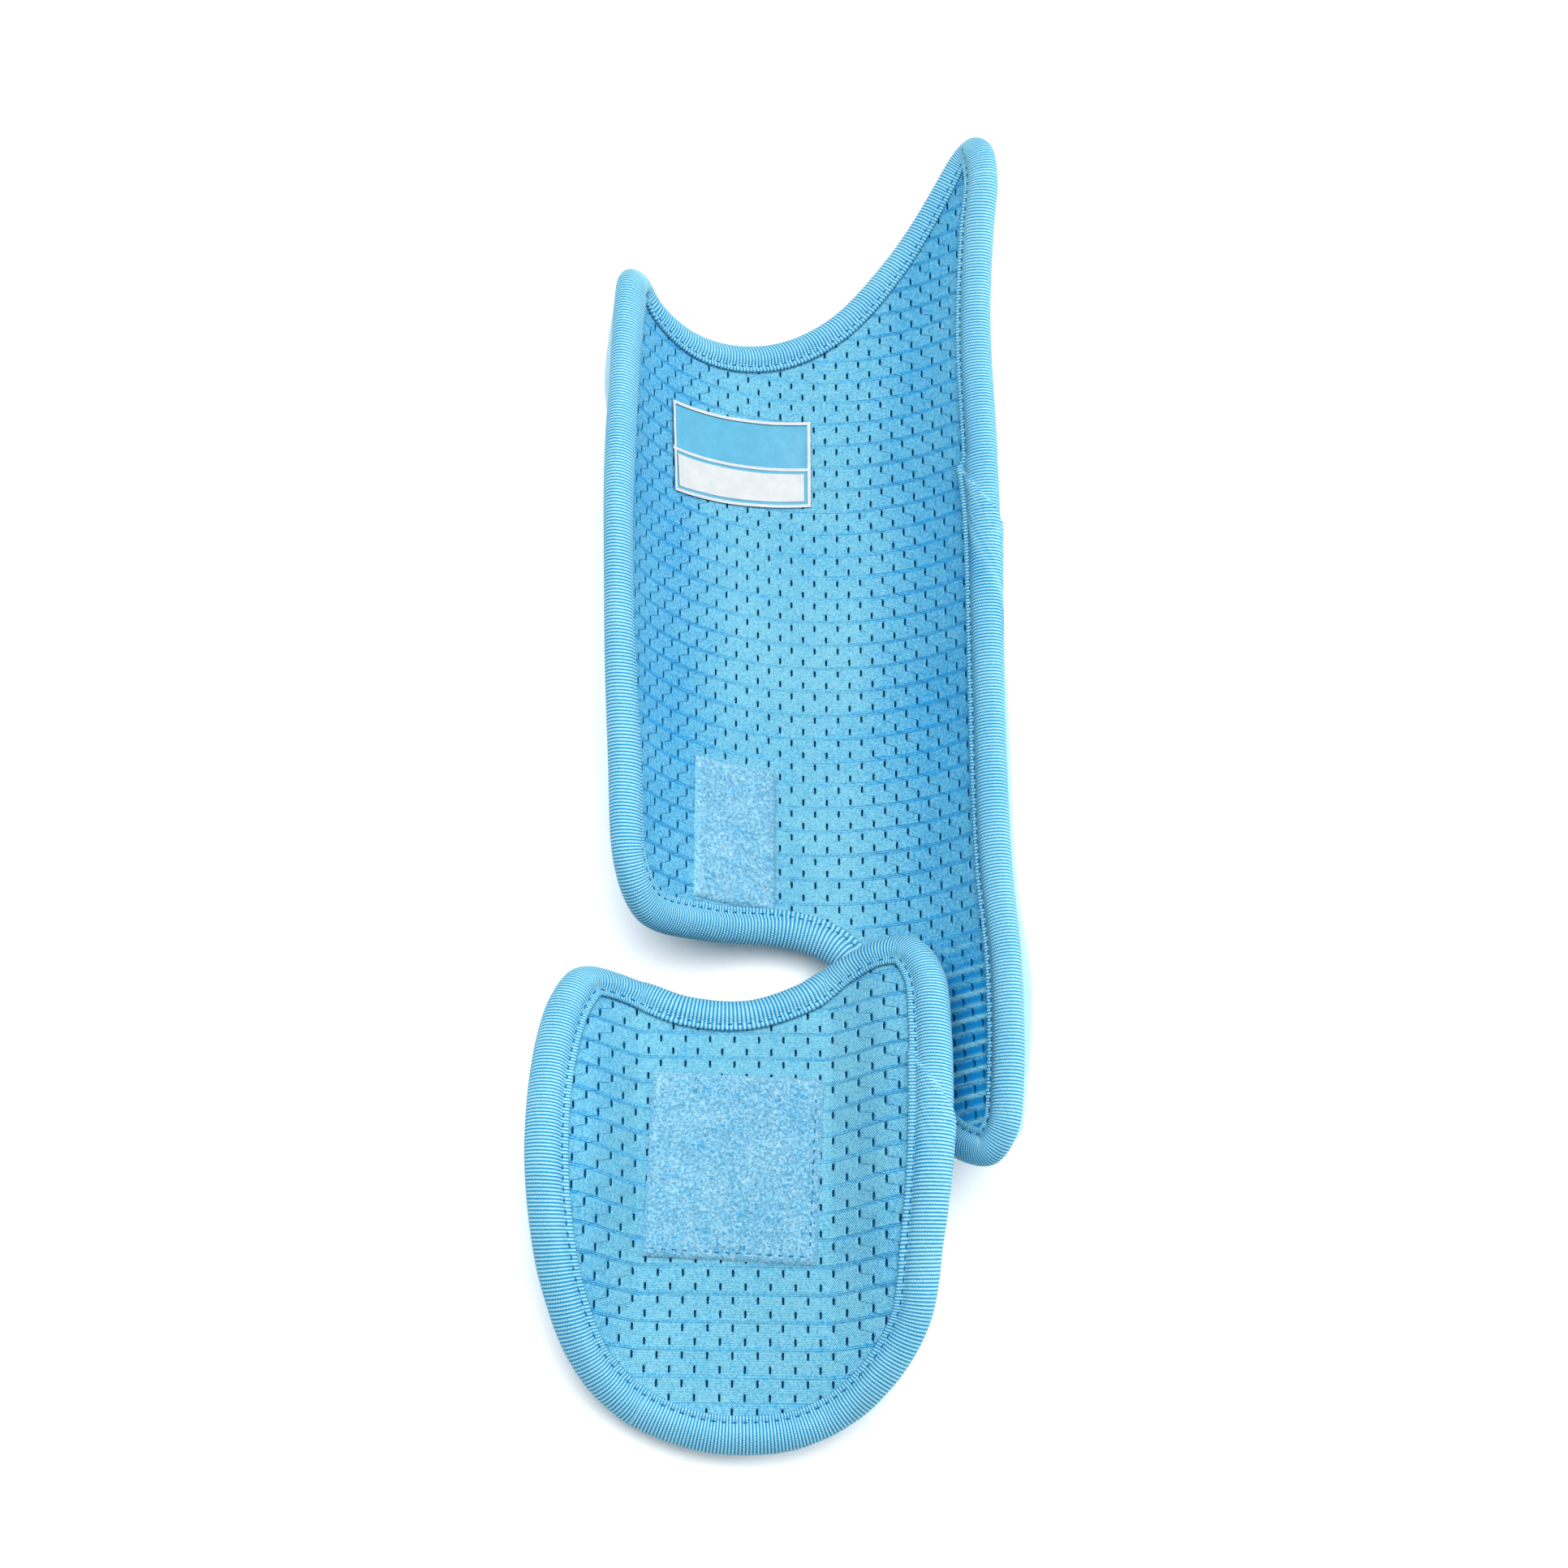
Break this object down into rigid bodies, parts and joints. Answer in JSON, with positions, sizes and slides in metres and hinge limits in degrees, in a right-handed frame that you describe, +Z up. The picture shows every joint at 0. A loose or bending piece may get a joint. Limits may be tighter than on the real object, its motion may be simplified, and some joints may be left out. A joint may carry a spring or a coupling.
{
  "type": "batter's leg guard",
  "caption": "Two-part padded leg guard: a curved shin shell with a side lobe and a tray-shaped foot pad, both lined with knit mesh and bound with ribbed tape.",
  "frame": {"origin": "on the floor, under the middle of the flat strip that the shin shell rests on", "axes": "+Y towards the knee, +Z up from the floor into the open trough, +X towards the side with the taller peak and the ankle lobe"},
  "size_m": [0.1411, 0.4108, 0.057],
  "materials": {
    "cover": "smooth pale sky-blue stretch cloth over foam",
    "mesh_lining": "sky-blue slit knit mesh",
    "edge_tape": "ribbed sky-blue knit tape",
    "fuzzy_patch": "fuzzy sky-blue loop pile",
    "strap_web": "plain woven sky-blue web"
  },
  "bodies": {
    "root": {"shin_shell": "cover", "shin_lining": "mesh_lining", "shin_binding": "edge_tape", "shin_patch": "fuzzy_patch", "foot_shell": "cover", "foot_lining": "mesh_lining", "foot_binding": "edge_tape", "foot_patch": "fuzzy_patch", "link_strap": "strap_web"}
  },
  "joints": []
}
